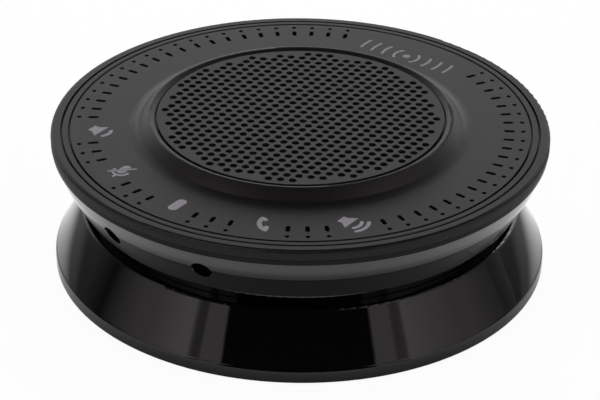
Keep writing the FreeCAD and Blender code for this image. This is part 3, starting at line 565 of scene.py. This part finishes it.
def camera():
    """Camera at the viewing angle, long lens, looking down on the deck."""
    data = bpy.data.cameras.new("camera")
    data.lens = LENS
    data.shift_x, data.shift_y = IMAGE_SHIFT
    data.clip_start = 0.01
    cam = bpy.data.objects.new("camera", data)
    bpy.context.scene.collection.objects.link(cam)
    turn = Matrix.Rotation(math.radians(CAMERA_TURN), 4, "Z")
    tilt = Matrix.Rotation(math.radians(90 - CAMERA_TILT), 4, "X")
    roll = Matrix.Rotation(math.radians(CAMERA_ROLL), 4, "Z")
    cam.matrix_world = Matrix.Translation(CAMERA_AT) @ turn @ tilt @ roll
    bpy.context.scene.camera = cam


def bearing(angle, elevation):
    """Unit vector towards a bearing seen from the object: 0 is the camera, positive is right."""
    a = math.radians(CAMERA_BEARING + angle)
    e = math.radians(elevation)
    return Vector((math.cos(a) * math.cos(e), math.sin(a) * math.cos(e), math.sin(e)))


FLOOR_RADIUS = 6.0  # metres
FLOOR_COLOR = (0.25, 0.25, 0.25)
FLOOR_GLOW = 0.94

# The floor as the object sees it, by distance from the axis in millimetres and by bearing:
# each level is a (behind the object, in front of it) pair.
UNDER_OBJECT = (30.0, 60.0)
CLOSE_SHADE = (66.0, 77.0)
CLOSE_SHADE_DEPTH = (0.05, 0.55)
NEAR_LEVEL = (1.3, 0.85)
NEAR_EDGE = (80.0, 112.0)
NEAR_EDGE_LEFT = 0.26
FAR_LEVEL = (1.0, 0.14)
FAR_TURN = (-0.85, -0.35)
FAR_START = (130.0, 230.0)


def floor_brightness(s):
    """Floor as the object sees it: lit all round, shaded close in front, dark far in front."""
    place = s.add("VectorMath", 0, {"operation": "MULTIPLY"}, _0=s.place, _1=(1 / MM, 1 / MM, 0.0))
    radius = s.add("VectorMath", VECTOR_VALUE, {"operation": "LENGTH"}, _0=place)
    heading = s.add("VectorMath", 0, {"operation": "NORMALIZE"}, _0=place)
    outside = s.ramp(radius, *UNDER_OBJECT, 0.0, 1.0)
    front = s.math("MULTIPLY", s.dot(heading, tuple(bearing(0, 0))), outside)
    close = s.ramp(radius, *CLOSE_SHADE, 1.0, 0.0)
    shade = s.math("MULTIPLY", close, s.ramp(front, -1.0, 1.0, *CLOSE_SHADE_DEPTH))
    patch = s.math("SUBTRACT", s.ramp(front, -1.0, 1.0, *NEAR_LEVEL), shade)
    near = s.math("MULTIPLY", patch, s.ramp(radius, *NEAR_EDGE, 1.0, NEAR_EDGE_LEFT))
    far = s.ramp(front, *FAR_TURN, *FAR_LEVEL)
    return s.between(s.ramp(radius, *FAR_START, 0.0, 1.0), near, far)


def floor():
    """Plain pale floor that glows a little; it lets the camera look up through it."""
    mesh = bpy.data.meshes.new("floor")
    bm = bmesh.new()
    bmesh.ops.create_circle(bm, cap_ends=True, segments=96, radius=FLOOR_RADIUS)
    bm.to_mesh(mesh)
    bm.free()
    obj = bpy.data.objects.new("floor", mesh)
    bpy.context.scene.collection.objects.link(obj)
    s = Shader("floor", Base_Color=FLOOR_COLOR, Roughness=0.9, Specular_IOR_Level=0.0)
    s.fill(s.main, {"Emission_Color": (1, 1, 1), "Emission_Strength": FLOOR_GLOW})
    glow = s.add("Emission", Strength=floor_brightness(s))
    to_camera = s.add("LightPath")
    shown = s.add("MixShader", _0=to_camera, _1=glow, _2=s.main.outputs[0])
    see_through = s.add("BsdfTransparent")
    cover = s.add("MixShader", _0=s.add("NewGeometry", BACKFACING), _1=shown, _2=see_through)
    s.links.new(cover, s.nodes["Material Output"].inputs["Surface"])
    mesh.materials.append(s.material)


# Brightness of the room by bearing, the camera's side being 0: on each side a large panel that
# fades outwards and a narrow strip beside it, then a dim corner, then the pale backdrop.
ROOM = (
    (-180, 1.5), (-148, 1.4), (-136, 0.95), (-118, 0.2), (-105, 0.11), (-98, 0.04), (-84, 0.39),
    (-77, 0.55), (-70, 0.6), (-55, 1.0), (-50.5, 1.05), (-48.7, 0.3), (-44, 0.3), (-43.7, 0.68),
    (-34.3, 0.68), (-33.8, 0.01), (34.3, 0.01), (34.8, 0.66), (44.4, 0.66), (44.8, 0.36),
    (49.0, 0.36), (50.7, 1.0), (63, 0.76), (77, 0.54), (84, 0.5), (98, 0.25), (105, 0.14),
    (118, 0.36), (130, 0.65), (142, 1.25), (180, 1.45),
)
# Elevations in degrees between which the panels and the backdrop fade into the dark overhead
PANEL_TOP = (42, 52)
BACKDROP_TOP = (14, 50)
OVERHEAD = 0.02
PANEL_TINT = (1.06, 0.97, 0.985)
BACKDROP_TINT = (1.0, 0.995, 1.0)
# Where the backdrop's tint turns into the panels', as the cosine of the bearing
BESIDE = (-0.5, -0.2)


def studio():
    """Room round the object: panels to the left and right, pale backdrop, dark overhead."""
    world = bpy.data.worlds.new("studio")
    bpy.context.scene.world = world
    world.use_nodes = True
    n = Nodes(world.node_tree)
    away = n.add("TexCoord")
    front = n.dot(away, tuple(bearing(0, 0)))
    turn = n.math("ARCTAN2", n.dot(away, tuple(bearing(90, 0))), front)
    place = n.math("MULTIPLY_ADD", turn, 0.5 / math.pi, 0.5)
    walls = n.stops(place, [(angle / 360 + 0.5, level) for angle, level in ROOM])
    height = n.dot(away, (0, 0, 1))
    low_panel, low_backdrop = (
        n.ramp(height, math.sin(math.radians(start)), math.sin(math.radians(end)), 1.0, 0.0)
        for start, end in (PANEL_TOP, BACKDROP_TOP)
    )
    beside = n.ramp(front, *BESIDE, 0.0, 1.0)
    room = n.between(n.between(beside, low_backdrop, low_panel), OVERHEAD, walls)
    to_camera = n.add("LightPath")
    shown = n.between(to_camera, room, 1.0)
    color = n.mix(to_camera, n.mix(beside, BACKDROP_TINT, PANEL_TINT), (1, 1, 1))
    n.fill(n.nodes["Background"], {"Color": color, "Strength": shown})


camera()
floor()
studio()
bpy.context.scene.view_settings.view_transform = "Standard"
